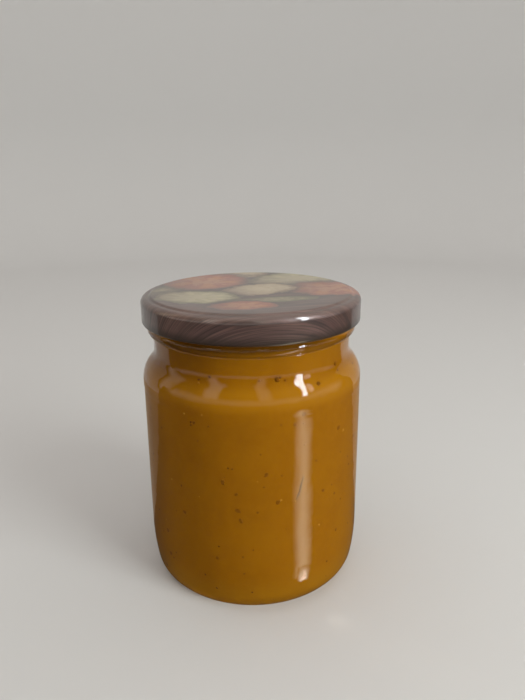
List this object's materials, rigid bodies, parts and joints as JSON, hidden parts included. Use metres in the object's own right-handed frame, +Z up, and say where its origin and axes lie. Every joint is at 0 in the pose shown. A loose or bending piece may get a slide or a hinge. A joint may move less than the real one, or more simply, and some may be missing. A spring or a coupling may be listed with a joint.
{
  "type": "jar of vegetable spread",
  "caption": "Sealed cylindrical glass jar with a rounded heel and shoulder, a printed tinplate lug lid and a smooth ochre vegetable spread that fills it to the mouth.",
  "frame": {"origin": "centre of the jar's base, on the plane of its bearing ring", "axes": "+Z up along the jar's axis, towards the lid; -Y is the side that faces the viewer"},
  "size_m": [0.0877, 0.0876, 0.1183],
  "materials": {
    "glass": "clear, polished",
    "spread": "moist smooth puree",
    "sealing_compound": "satin",
    "printed_tinplate": "varnished print"
  },
  "bodies": {
    "root": {"glass_jar": "glass", "spread": "spread", "sealing_ring": "sealing_compound", "lid": "printed_tinplate"}
  },
  "joints": []
}
